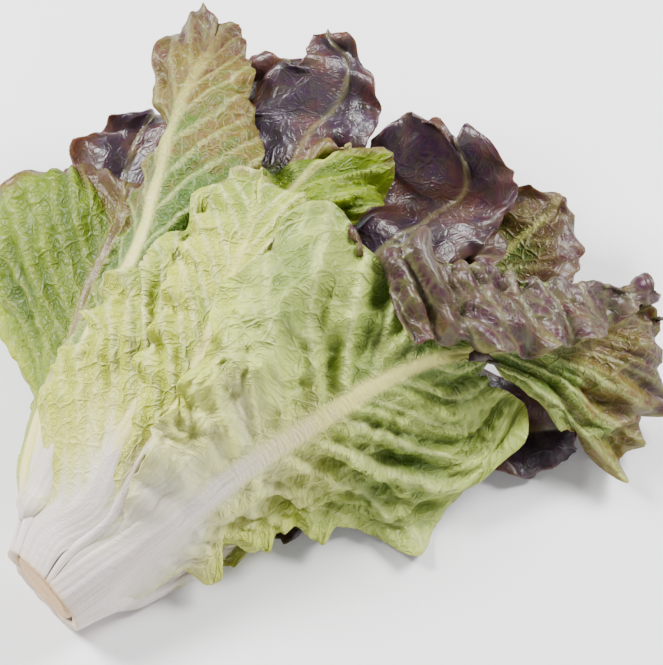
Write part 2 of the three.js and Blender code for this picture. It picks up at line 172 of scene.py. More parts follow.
def plain_leaf(name, seat, tip, half_width, arch=0.0, cup=0.2, **look):
    """Adds a leaf by its tip: a straight midrib with an arch, and margins that swell, then close."""
    foot = seat_rows(seat)[1][2]
    end = np.array(tip, float)
    side = np.cross([0, 0, 1], end - foot)
    side /= np.linalg.norm(side)
    up = np.array([0, 0, 1.0])
    left_line, rib_line, right_line = [], [], []
    for f in (0.2, 0.42, 0.64, 0.84, 1):
        rib = foot + (end - foot) * f + up * arch * 4 * f * (1 - f)
        reach = half_width * min(1, 0.3 + 1.3 * f) * np.sqrt(max(0.05, 1 - f**5))
        rib_line.append(rib)
        left_line.append(rib + side * reach + up * cup * reach)
        right_line.append(rib - side * reach + up * cup * reach)
    drawn_leaf(name, seat, left_line, rib_line, right_line, **look)


def joined(points, at, t):
    """Cubic pieces through points at the parameters at: the slope at a point is the weighted
    mean of the slopes beside it, and t picks the places to work out."""
    at = np.asarray(at, float)
    slope = np.diff(points, axis=0) / np.diff(at)[:, None, None]
    share = ((at[1:-1] - at[:-2]) / (at[2:] - at[:-2]))[:, None, None]
    inner = slope[:-1] * (1 - share) + slope[1:] * share
    tangent = np.concatenate([slope[:1], inner, slope[-1:]])
    i = np.clip(np.searchsorted(at, t, "right") - 1, 0, len(at) - 2)
    h = (at[i + 1] - at[i])[:, None, None]
    f = ((t - at[i]) / (at[i + 1] - at[i]))[:, None, None]
    f2, f3 = f**2, f**3
    return (
        points[i] * (2 * f3 - 3 * f2 + 1)
        + tangent[i] * h * (f3 - 2 * f2 + f)
        + points[i + 1] * (3 * f2 - 2 * f3)
        + tangent[i + 1] * h * (f3 - f2)
    )


# %% [markdown]
# ## The leaves, from the table upwards
#
# The order matters: each leaf is laid on those before it. Points are in the head's axes. The
# look of a leaf says how its veins run, how much it puckers and frills, and where along it the
# green gives way to purple. The inner face of a red lettuce leaf is redder than the outer one,
# so each face has its own start of purple. A leaf of dark glossy purple is blistered more than
# veined, which is the look named DARK. The lowest leaves are mostly hidden, and most are plain.

# %% The lowest leaves
DARK = {"crisp": 0.25, "pucker": 2.4, "vein_gap": 24, "rib_width": (6, 1.1)}
plain_leaf(
    "under_leaf_left", ("outer", 178, 21, True), (205, 34, 4), 46, -6, 0.04, purple=(0.45, 0.8),
    ruffle=3,
)
plain_leaf(
    "under_leaf_centre", ("outer", 216, 19, True), (220, -26, 5), 44, -5, 0.04, purple=(0.45, 0.8),
    ruffle=3,
)
drawn_leaf(
    "under_leaf_right", ("outer", 258, 24, False),
    [(30, -27, 14), (76, -38, 10), (130, -60, 10), (173, -76, 12), (188, -106, 16),
     (190, -124, 18)],
    [(28, -31, 8), (65, -48, 5), (119, -76, 5), (160, -99, 5), (178, -122, 8), (186, -132, 12)],
    [(21, -31, 4), (52, -45, 3), (94, -74, 3), (146, -114, 4), (167, -136, 6), (180, -140, 10)],
    purple=(0.5, 0.72), ruffle=5, tooth=1.6, step=1.6,
)
drawn_leaf(
    "back_left_leaf", ("outer", 137, 22, True),
    [(50, 44, 8), (84, 74, 6), (122, 94, 14), (148, 107, 24), (173, 106, 32), (188, 96, 36)],
    [(54, 38, 10), (92, 56, 12), (127, 67, 18), (153, 77, 26), (177, 86, 32), (195, 89, 36)],
    [(55, 30, 12), (98, 38, 14), (135, 41, 20), (172, 52, 28), (196, 66, 34), (202, 78, 36)],
    purple=(0.3, 0.6), ruffle=6, ruffle_length=22, step=1.5, **DARK,
)
plain_leaf(
    "inner_leaf_low_left", ("second", 150, 40, True), (206, 40, 14), 40, -4, 0.15,
    purple=(0.5, 0.85), ruffle=5,
)
plain_leaf(
    "inner_leaf_low_right", ("second", 235, 40, True), (212, -62, 14), 36, -4, 0.15,
    purple=(0.5, 0.85), ruffle=5,
)
print("leaves so far:", len(LEAVES))

# %% [markdown]
# ### The leaves at the sides
#
# On the left, one bright green leaf stands on its margin and shows its outer face. On the right,
# younger leaves lean out one over the other, and the last of them curls back in two big rolls.

# %% Side leaves
drawn_leaf(
    "left_leaf", ("outer", 91, 22, False),
    [(36, 41, 14), (69, 60, 10), (86, 92, 8), (104, 122, 12), (132, 121, 26), (153, 110, 32),
     (156, 90, 36)],
    [(38, 35, 26), (66, 47, 30), (90, 53, 32), (111, 61, 34), (131, 65, 38), (145, 68, 41),
     (158, 74, 42)],
    [(37, 28, 34), (72, 32, 37), (96, 33, 38), (119, 38, 39), (138, 44, 41), (152, 54, 42),
     (162, 64, 43)],
    purple=(0.95, 1.15), rim_purple=0.7, rib_purple=0.8, bright=0.2, vein_gap=11, vein_lean=1.1,
    pucker=2.0, ruffle=4, foot=(20, 60), tooth=0.4, step=1.3,
)
drawn_leaf(
    "rib_leaf", ("second", -74, 30, False),
    [(66, -14, 22), (120, -25, 20), (177, -36, 22), (217, -49, 26), (236, -54, 30),
     (249, -56, 36), (256, -64, 40)],
    [(64, -26, 20), (116, -39, 19), (174, -51, 21), (213, -65, 26), (236, -72, 31),
     (252, -76, 36), (259, -76, 39)],
    [(62, -36, 18), (112, -52, 18), (166, -69, 20), (207, -84, 24), (230, -99, 27),
     (249, -96, 32), (258, -86, 36)],
    purple=(0.75, 1.1), rim_purple=1.0, rim_reach=14, ruffle=6, crisp=0.7, rib_width=(7, 1.6),
    step=1.3,
)
plain_leaf(
    "inner_leaf_middle", ("second", -40, 14, False), (226, 2, 30), 34, 2, 0.2, purple=(0.5, 0.8),
    ruffle=6,
)
drawn_leaf(
    "blush_leaf", ("second", -15, 15, False),
    [(60, -2, 30), (114, -11, 31), (164, -15, 33), (194, -22, 36), (212, -30, 40), (222, -40, 43)],
    [(58, -14, 30), (114, -25, 31), (163, -32, 33), (196, -44, 36), (216, -54, 41), (227, -60, 45)],
    [(56, -24, 27), (115, -38, 29), (162, -48, 31), (193, -62, 34), (213, -72, 39), (226, -72, 43)],
    purple=(0.7, 1.0), rim_purple=0.9, ruffle=6, crisp=0.6, step=1.5,
)
drawn_leaf(
    "roll_leaf", ("second", 14, 16, False),
    [(62, 2, 36), (103, -2, 38), (157, -4, 40), (197, -6, 42), (222, -10, 48), (231, -6, 66),
     (239, -13, 74), (240, -24, 77)],
    [(60, -10, 36), (101, -17, 37), (155, -26, 39), (196, -34, 41), (220, -41, 44),
     (230, -46, 52), (236, -43, 65), (240, -33, 75)],
    [(60, -20, 33), (100, -31, 35), (151, -45, 37), (192, -57, 39), (218, -66, 42),
     (240, -65, 54), (245, -60, 66), (247, -36, 76)],
    left_fold={5: (224, -18, 57)},
    right_fold={5: (232, -62, 49)},
    purple=(0.5, 0.75), ruffle=6, ruffle_length=30, tooth=0.5, step=1.1, **DARK,
)
print("leaves so far:", len(LEAVES))

# %% [markdown]
# ### The heart and the leaves behind it
#
# The heart is four small pale leaves around the growing point. Nobody sees more than their tips,
# so they are drawn by their tips alone. The purple leaves and the frilled one stand over them.

# %% Heart and back leaves
for name, seat, tip, width, cup in (
    ("heart_leaf_one", ("third", 215, 60, True), (150, -20, 36), 28, 0.35),
    ("heart_leaf_two", ("third", 90, 55, True), (158, 14, 44), 28, 0.35),
    ("heart_leaf_three", ("heart", 180, 60, True), (128, 6, 44), 18, 0.35),
    ("heart_leaf_four", ("heart", 0, 60, False), (120, -6, 50), 16, -0.3),
):
    plain_leaf(name, seat, tip, width, 0, cup, purple=(1.1, 1.4), bright=0.3, ruffle=3, foot=(90, 170))
plain_leaf(
    "inner_leaf_upper_left", ("second", 112, 12, True), (204, 36, 48), 22, 4, 0.1,
    purple=(0.5, 0.8), ruffle=4,
)
drawn_leaf(
    "curled_leaf", ("second", 82, 16, False),
    [(62, 16, 40), (110, 26, 50), (152, 39, 58), (187, 49, 64), (212, 54, 69), (226, 54, 73)],
    [(66, 8, 43), (120, 13, 54), (163, 24, 61), (197, 34, 65), (219, 37, 69), (229, 42, 75)],
    [(72, 0, 43), (129, -5, 52), (175, 2, 59), (209, 12, 62), (225, 21, 68), (236, 32, 75)],
    purple=(0.55, 0.78), ruffle=6, ruffle_length=24, tooth=0.7, step=1.3, **DARK,
)
drawn_leaf(
    "top_leaf", ("second", 48, 16, False),
    [(72, 8, 42), (121, 15, 50), (163, 27, 56), (201, 41, 61), (213, 43, 72), (227, 34, 80),
     (244, 41, 80)],
    [(76, -1, 44), (133, -1, 53), (180, 12, 58), (213, 18, 61), (229, 16, 67), (240, 19, 74),
     (249, 35, 79)],
    [(82, -12, 42), (142, -23, 50), (185, -13, 56), (213, -4, 58), (231, -3, 66), (241, 6, 75),
     (250, 25, 79)],
    purple=(0.6, 0.78), ruffle=6, ruffle_length=26, tooth=0.7, step=1.2, **DARK,
)
drawn_leaf(
    "frill_leaf", ("third", 5, 45, False),
    [(74, 12, 50), (108, 22, 60), (142, 29, 68), (167, 30, 72), (184, 22, 74), (200, 10, 74)],
    [(74, 0, 53), (112, 6, 64), (155, 8, 71), (182, 6, 75), (201, 3, 75), (211, -2, 74)],
    [(72, -12, 48), (119, -13, 59), (168, -17, 67), (195, -25, 70), (211, -24, 71), (219, -14, 73)],
    purple=(0.98, 1.2), bright=0.55, pucker=3.2, ruffle=8, ruffle_length=20, foot=(20, 60),
    step=1.2,
)
print("leaves so far:", len(LEAVES))

# %% [markdown]
# ### The outer leaves on top
#
# These came off the lowest ring of the stem: a long narrow leaf, the stub of one that was torn
# off, the broad middle leaf, a folded one, and last the largest, whose far edge rolls inwards
# and shows the purple face. A fold is stated by its own points, as the cubic alone would cut it
# short.

# %% Top leaves
drawn_leaf(
    "tall_leaf", ("outer", 47, 10, False),
    [(34, 30, 37), (63, 42, 43), (89, 46, 49), (115, 52, 57), (143, 60, 63), (173, 67, 70),
     (190, 84, 74), (212, 91, 74), (231, 86, 73)],
    [(34, 25, 43), (65, 37, 53), (95, 39, 63), (120, 41, 72), (148, 50, 78), (175, 61, 82),
     (193, 66, 82), (209, 69, 80), (227, 76, 76)],
    [(40, 16, 47), (68, 17, 58), (98, 14, 68), (127, 15, 76), (159, 15, 82), (185, 23, 84),
     (204, 42, 82), (220, 53, 79), (232, 69, 75)],
    purple=(0.45, 1.35), vein_gap=15, vein_lean=1.5, rib_width=(8, 2.6), ruffle=3.5, pucker=2.8,
    ruffle_length=24, foot=(32, 85), tooth=0.35, bright=-0.3, step=1.15,
)
drawn_leaf(
    "torn_petiole", ("outer", 63, 6, False),
    [(20, 25, 40), (31, 27, 43), (43, 29, 45), (49, 28, 47)],
    [(19, 20, 41), (29, 20, 45), (41, 22, 49), (51, 24, 50)],
    [(19, 15, 42), (27, 13, 46), (40, 17, 49), (52, 22, 50)],
    purple=(2, 3), foot=(40, 120), pucker=0, ruffle=1.2, ruffle_length=12, step=0.8,
)
drawn_leaf(
    "centre_leaf", ("outer", 14, 24, False),
    [(28, 16, 45), (57, 42, 48), (80, 42, 58), (101, 43, 66), (127, 32, 76), (161, 30, 79)],
    [(31, -3, 53), (58, 0, 65), (85, 2, 75), (114, 5, 82), (140, 7, 85), (166, 10, 83)],
    [(30, -22, 43), (60, -27, 54), (95, -29, 65), (133, -34, 73), (162, -34, 76), (179, -15, 78)],
    purple=(1.1, 1.5), bright=0.5, foot=(32, 88), vein_gap=14, vein_lean=1.9, rib_width=(13, 2.0),
    pucker=2.2, ruffle=4.5, ruffle_length=20, step=1.05,
)
drawn_leaf(
    "fold_leaf", ("outer", -14.5, 4, False),
    [(29, -9, 50), (53, -3, 62), (79, 5, 72), (96, 13, 78), (121, 19, 82), (143, 23, 83),
     (169, 23, 82)],
    [(31, -12, 52), (58, -12, 64), (82, -13, 74), (102, -9, 80), (127, -2, 84), (151, 5, 85),
     (172, 14, 83)],
    [(32, -15, 50), (64, -22, 62), (91, -31, 70), (117, -27, 76), (142, -21, 80),
     (168, -13, 82), (178, 4, 83)],
    purple=(1.3, 1.6), bright=0.5, foot=(42, 94), vein_gap=12, vein_lean=1.6, rib_width=(6, 2.0),
    pucker=2.2, ruffle=5, ruffle_length=17, slim=0.45, gap=1.2, turned_up=3.0, step=1.05,
)
drawn_leaf(
    "front_leaf", ("outer", -53, 34, False),
    [(27, -13, 47), (51, -15, 58), (77, -12, 68), (110, -8, 75), (147, -3, 79), (179, -20, 80),
     (156, -60, 80), (160, -88, 76), (178, -112, 69), (203, -128, 60), (237, -133, 47)],
    [(31, -27, 40), (59, -36, 46), (87, -46, 52), (114, -58, 57), (137, -68, 60),
     (152, -77, 62), (163, -86, 62), (178, -99, 58), (198, -115, 52), (218, -126, 46),
     (240, -135, 40)],
    [(18, -28, 13), (42, -43, 9), (70, -58, 6), (91, -86, 4), (117, -112, 4), (167, -119, 34),
     (167, -96, 46), (176, -125, 34), (180, -154, 10), (207, -157, 12), (233, -144, 30)],
    left_fold={6: (181, -47, 85), 7: (189, -69, 82), 8: (204, -95, 75), 9: (223, -117, 64),
        10: (240, -131, 50)},
    right_fold={5: (145, -106, 28), 8: (190, -136, 34), 9: (211, -148, 30), 10: (238, -139, 36)},
    purple=(0.62, 1.2), inner_purple=(0.4, 0.62), foot=(45, 150), vein_gap=15, vein_lean=0.9,
    rib_width=(15, 2.4), pucker=4.0, ruffle=7.5, ruffle_length=22, tooth=1.8, bright=0.25, gap=2.2,
    turned_up=4.5, step=1.05,
)
print("leaves:", len(LEAVES))

# %% [markdown]
# ## The middle surface, with its own rulers
#
# Veins and puckers have real sizes, so each grid point needs to know its distance along the
# leaf, its signed distance across from the midrib and its distance to the nearest edge. They
# are measured on the smooth surface, before any detail is added.

# %% Surface and rulers
def middle_surface(leaf):
    """The grid of the smooth sheet: lines joined along the midrib's length, then joined across."""
    rows = rows_of(leaf)
    at = np.concatenate([[0], np.cumsum(np.linalg.norm(np.diff(rows[:, 2], axis=0), axis=1))])
    width = np.linalg.norm(np.diff(rows, axis=1), axis=2).sum(1).max()
    spacing = leaf.get("step", 2.2)
    count_along = int(at[-1] / spacing) + 1
    count_across = 2 * int(width / spacing / 2) + 1
    rails = joined(rows, at, np.linspace(0, at[-1], count_along))
    across = np.linspace(0, 4, count_across)
    return joined(rails.transpose(1, 0, 2), np.arange(5.0), across).transpose(1, 0, 2)


def rulers(surface):
    """Distances in mm: along from the foot, across from the midrib (left is negative), and to
    the nearest edge, where the tip counts as an edge too."""
    step_across = np.linalg.norm(np.diff(surface, axis=1), axis=2)
    across = np.concatenate([np.zeros((len(surface), 1)), np.cumsum(step_across, axis=1)], 1)
    across -= across[:, surface.shape[1] // 2, None]
    step_along = np.linalg.norm(np.diff(surface, axis=0), axis=2)
    middle = step_along[:, surface.shape[1] // 2]
    along = np.concatenate([[0], np.cumsum(middle)])[:, None] * np.ones(surface.shape[1])
    half = np.where(across < 0, -across[:, :1], across[:, -1:])
    to_side = half - np.abs(across)
    to_tip = along[-1, 0] - along
    edge = np.minimum(to_side, to_tip * 0.9)
    return along, across, edge, half


def unit(vectors):
    """Vectors divided by their lengths."""
    return vectors / np.maximum(np.linalg.norm(vectors, axis=2, keepdims=True), 1e-9)


def upward(surface):
    """The unit normal of each grid point: the step across, crossed with the step along."""
    return unit(np.cross(np.gradient(surface, axis=1), np.gradient(surface, axis=0)))


# %% [markdown]
# ## Veins, puckers and frills
#
# Side veins leave the midrib at even gaps and lean towards the tip. On the outer face they
# stand up as thin ridges and the blade sinks between them. The blade has grown faster than its
# veins, so it is thrown into puckers that run with the veins, and it has grown fastest at its
# margin, which frills.


# %% Relief of a blade
HEM = 14.0
SMOOTH_TO, PUCKERED_FROM = 35, 105


def side_veins(along, across, gap, lean, seed):
    """Distance in mm to the nearest side vein. A vein keeps the value of along - lean * |across|
    (bent by noise), and one leaves the midrib at each whole number of gaps."""
    reach = np.abs(across)
    bent = along - lean * reach + 0.0035 * lean * reach**2
    bent = bent + 2.2 * noise(along / 31, across / 23, seed)
    bent = bent + 0.8 * noise(along / 9, across / 9, seed + 1)
    phase = bent / gap + 0.45 * (across > 0)
    away = np.abs(phase - np.round(phase)) * gap / np.sqrt(1 + lean**2)
    return away, bent


def ridged(x, y, seed):
    """Sharp crests where noise crosses zero, and rounded valleys: 1 - 3 |noise|."""
    return 1 - 3 * np.abs(noise(x, y, seed))


def relief(leaf, along, across, edge, seed):
    """Height in mm of the detailed sheet over the smooth one, and its masks of veins and folds.
    The height adds up vein ridges, the hollows between them, puckers that run with the veins,
    the waves and frills of the hem, a turned-up left edge, and the grooves of the petiole."""
    gap, lean = leaf.get("vein_gap", 15), leaf.get("vein_lean", 1.1)
    pucker, ruffle, crisp = leaf.get("pucker", 1.9), leaf.get("ruffle", 4), leaf.get("crisp", 1)
    length = leaf.get("ruffle_length", 26)
    crisp = crisp * (1 - 0.65 * step(*leaf["purple"], along / along[-1, 0] + 0.05))
    away, bent = side_veins(along, across, gap, lean, seed)
    free = step(SMOOTH_TO, PUCKERED_FROM, along)
    off_rib = 1 - np.exp(-((across / (rib_width(leaf, along) * 1.25)) ** 4))
    swollen = off_rib * (1 - np.exp(-((across / 11) ** 2)))
    vein = np.exp(-((away / (0.65 + 0.006 * edge)) ** 2)) * off_rib * free
    pillow = (1 - np.exp(-((away / 3.2) ** 2))) * swollen
    folds = 0.62 * ridged(bent / 13, across / 34, seed + 3)
    folds = folds + 0.38 * ridged(bent / 6.5, across / 17, seed + 5)
    crumple = 0.30 * ridged(along / 8, across / 8, seed + 21)
    crumple = crumple + 0.18 * ridged(along / 4.2, across / 4.2, seed + 23)
    swell = layered(along / 34, across / 30, seed + 7, 2)
    height = 0.8 * vein * crisp**0.5 - 0.55 * pucker * pillow * free * crisp
    height = height + pucker * free * swollen * (crisp * (1.15 * folds + crumple) + (1.9 - crisp) * swell)
    wave = np.sin(2 * np.pi * along / length + 2.4 * noise(along / 37, np.sign(across) * 3, seed + 9))
    frill = noise(along / 7, across / 16 + 5, seed + 10)
    frill = frill + 0.5 * noise(along / 3.4, across / 12, seed + 13)
    hem = np.exp(-edge / HEM)
    loose = step(40, 90, along)
    height = height * (0.6 + 0.4 * step(0, 9, edge))
    height = height + ruffle * loose * (0.8 * wave * hem**1.3 + 0.75 * frill * np.exp(-edge / 6))
    turned_up = np.exp(-edge / 5) * (across < 0) * step(70, 110, along) * (1 - step(180, 215, along))
    height = height + leaf.get("turned_up", 0) * turned_up
    grooves = 0.3 * noise(along / 120, across / 3.2, seed + 15)
    grooves = grooves + 0.1 * noise(along / 90, across / 1.5, seed + 16)
    return height + grooves * (1 - step(60, 150, along)), vein, folds


def rib_width(leaf, along):
    """Half width of the midrib in mm: a broad petiole at the foot that narrows to a thin line."""
    wide, thin = leaf.get("rib_width", (9, 2.0))
    share = step(-40, along[-1, 0] * 0.75, along)
    return wide + (thin - wide) * share**0.6 + 0.01


def ragged(leaf, surface, along, across, edge, half, seed):
    """Moves points near the edge in and out along the sheet, so the outline is toothed."""
    outward = unit(np.sign(across)[..., None] * np.gradient(surface, axis=1))
    side = np.where(across < 0, 0.0, 7.0)
    sharp = leaf.get("tooth", 1)
    tooth = 1.7 * sharp * noise(along / 8, side, seed) + 0.9 * noise(along / 3.1, side, seed + 1)
    tooth = tooth + 1.2 * sharp * noise(along / 19, side, seed + 2)
    near = np.exp(-((half - np.abs(across)) / 5)) * step(30, 70, along)
    moved = surface + outward * (tooth * near)[..., None]
    forward = unit(np.gradient(surface, axis=0))
    tip_tooth = sharp * (2.2 * noise(across / 7, 3, seed + 3) + 1.1 * noise(across / 3, 5, seed + 4))
    near_tip = np.exp(-(along[-1, 0] - along) / 6)
    return moved + forward * (tip_tooth * near_tip)[..., None]


# %% [markdown]
# ## Laying each leaf on those below
#
# A real head is a stack that has settled. Instead of a slow cloth simulation, a height map of
# the table is kept: for each small square, the top of the leaves laid so far. A new leaf is
# lifted where it would sink into them. The lift is first widened and then averaged, which keeps
# it smooth and never lower than it has to be.

# %% The height map
CELL = 1.5
MAP_SIZE = 260
MAP_START = np.array([20, MAP_SIZE // 2])
LOOSE_FROM, LOOSE_TO = 40, 75
LIFT_REACH = 4
PRESSED_FROM, PRESSED_OVER = 86, 18
ground = np.zeros((MAP_SIZE, MAP_SIZE))


def cells(points):
    """The map's row and column of each point."""
    spots = np.round(points[..., :2] / CELL).astype(int) + MAP_START
    return np.clip(spots[..., 0], 0, MAP_SIZE - 1), np.clip(spots[..., 1], 0, MAP_SIZE - 1)


def shifted(grid, reach, axis):
    """Copies of the grid, moved by each whole number of cells up to reach along one axis."""
    padded = np.pad(grid, [(reach, reach) if a == axis else (0, 0) for a in (0, 1)], mode="edge")
    starts = range(2 * reach + 1)
    return [np.take(padded, np.arange(k, k + grid.shape[axis]), axis) for k in starts]


def widened(grid, reach):
    """The largest value within reach cells of each grid point, first along, then across."""
    for axis in (0, 1):
        grid = np.max(shifted(grid, reach, axis), axis=0)
    return grid


def averaged(grid, reach):
    """The mean of the values within reach cells of each grid point, first along, then across."""
    for axis in (0, 1):
        grid = np.mean(shifted(grid, reach, axis), axis=0)
    return grid


def laid(surface, thickness, along, gap):
    """The sheet lifted to a gap over the height map and the table by a smooth lift."""
    rows, columns = cells(surface)
    low = widened(ground, 1)[rows, columns] + gap + thickness / 2
    lift = step(LOOSE_FROM, LOOSE_TO, along) * np.maximum(0, low - surface[..., 2])
    midrib = surface[:, surface.shape[1] // 2]
    spacing = np.linalg.norm(np.diff(midrib, axis=0), axis=1).mean()
    reach = max(1, int(round(LIFT_REACH / spacing)))
    lift = averaged(widened(lift, reach), reach)
    surface = surface.copy()
    surface[..., 2] = pressed(surface[..., 2] + lift)
    surface[..., 2] = np.maximum(surface[..., 2], thickness / 2 + 0.05)
    return surface


def pressed(height):
    """The top of the stack sags: heights over PRESSED_FROM close in on PRESSED_OVER mm more."""
    over = np.maximum(0, height - PRESSED_FROM)
    return np.minimum(height, PRESSED_FROM) + PRESSED_OVER * (1 - np.exp(-over / PRESSED_OVER))


def mark(surface, thickness):
    """Raises the height map to the sheet's upper face, also halfway between grid points."""
    top = surface.copy()
    top[..., 2] += thickness / 2
    between = (top[1:] + top[:-1]) / 2, (top[:, 1:] + top[:, :-1]) / 2, (top[1:, 1:] + top[:-1, :-1]) / 2
    for points in (top, *between):
        rows, columns = cells(points)
        np.maximum.at(ground, (rows.ravel(), columns.ravel()), points[..., 2].ravel())


# %% [markdown]
# ## From a sheet to a closed shell
#
# A leaf is thin, but never a single face: both faces are offset from the middle sheet by half
# its thickness, and a rim joins them. The petiole is thick, and the midrib stands out of both
# faces. The edge thins to a third of a millimetre, so the light catches it.

# %% Thickness, shell and masks
BLADE = 0.75
RIB_BULGE = 2.6


def thickness_of(leaf, along, across, edge, half):
    """Petiole thickness that fades to the blade's, plus the midrib, thinned at the free edge."""
    slim = leaf.get("slim", 1)
    petiole = slim * RINGS[leaf["seat"][0]]["thickness"]
    share = np.clip(np.abs(across) / np.maximum(half, 1), 0, 1)
    fade = step(0, 120, along)
    body = petiole * (1 - 0.4 * share**2) * (1 - fade) + BLADE * fade
    rib = RIB_BULGE * slim * np.exp(-((across / rib_width(leaf, along)) ** 2))
    rib = rib * step(0, 60, along) * (1 - 0.55 * fade)
    thin = 0.35 + 0.65 * step(0, 4, edge)
    return body * np.where(along < 45, 1, thin) + rib * (1 - 0.6 * step(150, 230, along))


def side_masks(leaf, along, across, edge, half, vein, folds, seed):
    """What the finish reads at each point, for the upper and the lower face.
    pale is the white of petiole, midrib and foot. red runs from green through olive to purple."""
    length = along[-1, 0]
    share = along / length
    foot_from, foot_to = leaf.get("foot", (50, 130))
    patch = layered(along / 26, across / 20, seed + 20, 3)
    rib = np.exp(-((across / (rib_width(leaf, along) * 1.05)) ** 4))
    reach = along + 8 * patch + 9 * folds + 24 * np.exp(-edge / 9) + 0.45 * np.abs(across)
    foot = 1 - np.clip((reach - foot_from) / (foot_to - foot_from), 0, 1)
    pale = np.clip(np.maximum(foot, rib * (1 - 0.6 * step(0.35, 0.9, share))), 0, 1)
    rim = leaf.get("rim_purple", 0.25) * np.exp(-edge / leaf.get("rim_reach", 4)) * step(0.35, 0.7, share)
    faces = []
    seat_inwards = leaf["seat"][3]
    outer, inner = leaf["purple"], leaf.get("inner_purple", leaf["purple"])
    for low, high in ((inner, outer) if seat_inwards else (outer, inner)):
        reach = share + 0.07 * patch + 0.12 * np.exp(-edge / 14) - 0.05 * folds - 0.04 * rib
        red = step(low, high, reach)
        red = np.maximum(red, rim * (1 + 0.6 * patch))
        red = np.maximum(red, leaf.get("rib_purple", 0) * rib * step(0.3, 0.55, share))
        faces.append(np.clip(red * (1 - 0.8 * foot), 0, 1))
    yellow = np.exp(-edge / 10) * (1 - step(90, 190, along))
    yellow = yellow + 0.75 * (1 - step(foot_from, foot_to + 90, along))
    # Partly painted light: besides the leaf's own tone and yellow margins, fold crests get fresher green
    # and fold hollows deeper green as painted shade.
    bright = np.clip(leaf.get("bright", 0.15) + 0.8 * yellow + 0.22 * folds, 0, 1)
    cut = np.exp(-((along / 2.2) ** 2))
    # Painted shade: the hollows of the folds, away from the foot and the edge, are marked for darkening.
    valley = np.clip(-1.3 * folds - 0.25, 0, 1) * step(foot_to - 20, foot_to + 70, along)
    valley = valley * step(0, 6, edge)
    shared = {
        "foot": foot, "valley": valley, "pale": pale, "vein": vein,
        "rib": rib * step(50, 110, along), "bright": bright, "cut": cut,
    }
    return [{**shared, "red": red} for red in faces]


def shell_faces(m, n):
    """The quads of a closed shell: upper face, lower face turned over, and the four rims."""
    grid = np.arange(m * n).reshape(m, n)
    a, b, c, d = grid[:-1, :-1], grid[:-1, 1:], grid[1:, 1:], grid[1:, :-1]
    top = np.stack([a, b, c, d], -1).reshape(-1, 4)
    bottom = np.stack([a, d, c, b], -1).reshape(-1, 4) + m * n
    loop = np.concatenate([grid[0, :-1], grid[:-1, -1], grid[-1, :0:-1], grid[:0:-1, 0]])
    after = np.roll(loop, -1)
    rim = np.stack([after, loop, loop + m * n, after + m * n], -1)
    return np.concatenate([top, bottom, rim])


def mesh_piece(name, vertices, faces, masks=None, uv=None):
    """A smooth-shaded mesh object at the origin, with float masks on its points and its own UV map."""
    mesh = bpy.data.meshes.new(name)
    mesh.vertices.add(len(vertices))
    mesh.vertices.foreach_set("co", placed(vertices).astype(np.float32).ravel())
    mesh.loops.add(faces.size)
    mesh.loops.foreach_set("vertex_index", faces.astype(np.int32).ravel())
    mesh.polygons.add(len(faces))
    mesh.polygons.foreach_set("loop_start", np.arange(0, faces.size, faces.shape[1], dtype=np.int32))
    mesh.polygons.foreach_set("use_smooth", np.ones(len(faces), bool))
    mesh.update(calc_edges=True)
    for mask, values in (masks or {}).items():
        layer = mesh.attributes.new(mask, "FLOAT", "POINT")
        layer.data.foreach_set("value", values.astype(np.float32).ravel())
    if uv is not None:
        layer = mesh.uv_layers.new(name="surface")
        layer.data.foreach_set("uv", uv[faces.ravel()].astype(np.float32).ravel())
    mesh.validate()
    piece = bpy.data.objects.new(name, mesh)
    bpy.context.scene.collection.objects.link(piece)
    return piece


# %% Build every leaf
UV_PER_MM = 0.01
LOWER_REST, UPPER_REST = 0.02, 0.04


def build_leaf(leaf, seed):
    """One leaf from its lines to its closed shell, laid on the leaves before it."""
    surface = middle_surface(leaf)
    along, across, edge, half = rulers(surface)
    surface = ragged(leaf, surface, along, across, edge, half, seed)
    height, vein, folds = relief(leaf, along, across, edge, seed)
    thickness = thickness_of(leaf, along, across, edge, half)
    sheet = surface + upward(surface) * height[..., None]
    sheet = laid(sheet, thickness, along, leaf.get("gap", 0.25))
    mark(sheet, thickness)
    normal = upward(sheet)
    offset = normal * (thickness / 2)[..., None]
    upper, lower = sheet + offset, sheet - offset
    lower[..., 2] = np.maximum(lower[..., 2], LOWER_REST)
    upper[..., 2] = np.maximum(upper[..., 2], UPPER_REST)
    m, n = along.shape
    faces = shell_faces(m, n)
    masks = side_masks(leaf, along, across, edge, half, vein, folds, seed)
    both = {key: np.concatenate([masks[0][key].ravel(), masks[1][key].ravel()]) for key in masks[0]}
    both["seed"] = np.full(2 * m * n, (seed * 0.618) % 1)
    uv = np.stack([across.ravel(), along.ravel()], -1) * UV_PER_MM
    vertices = np.concatenate([upper.reshape(-1, 3), lower.reshape(-1, 3)])
    piece = mesh_piece(leaf["name"] + "_blade", vertices, faces, both, np.concatenate([uv, uv]))
    length, top = round(float(along[-1, 0])), round(float(upper[..., 2].max()))
    print(leaf["name"], m, "x", n, "points,", length, "mm long, top at", top)
    return piece


blades = {leaf["name"]: build_leaf(leaf, 17 * (i + 1)) for i, leaf in enumerate(LEAVES)}
print("triangles:", sum(2 * len(piece.data.polygons) for piece in blades.values()))

# %% [markdown]
# ## The stem core
#
# The cut end of the stem is the palest part of the head: a slanted, slightly domed face with
# faint rings, a browned rim and a few specks where the sap has dried. It is turned about its
# axis on a lathe, then sheared by the cut's slant.

# %% The core
CORE_PROFILE = [
    (-0.3, 0), (-0.15, 5), (0.0, 10), (0.0, 13.6), (0.5, 14.8), (1.4, 15.5), (8, 15.4), (12, 12.3),
    (27, 11.6), (30, 8.2), (46, 7.4), (50, 4.6), (66, 3), (67, 0),
]
CORE_SIDES, CORE_ROWS = 128, 140
POLE_RADIUS = 0.02


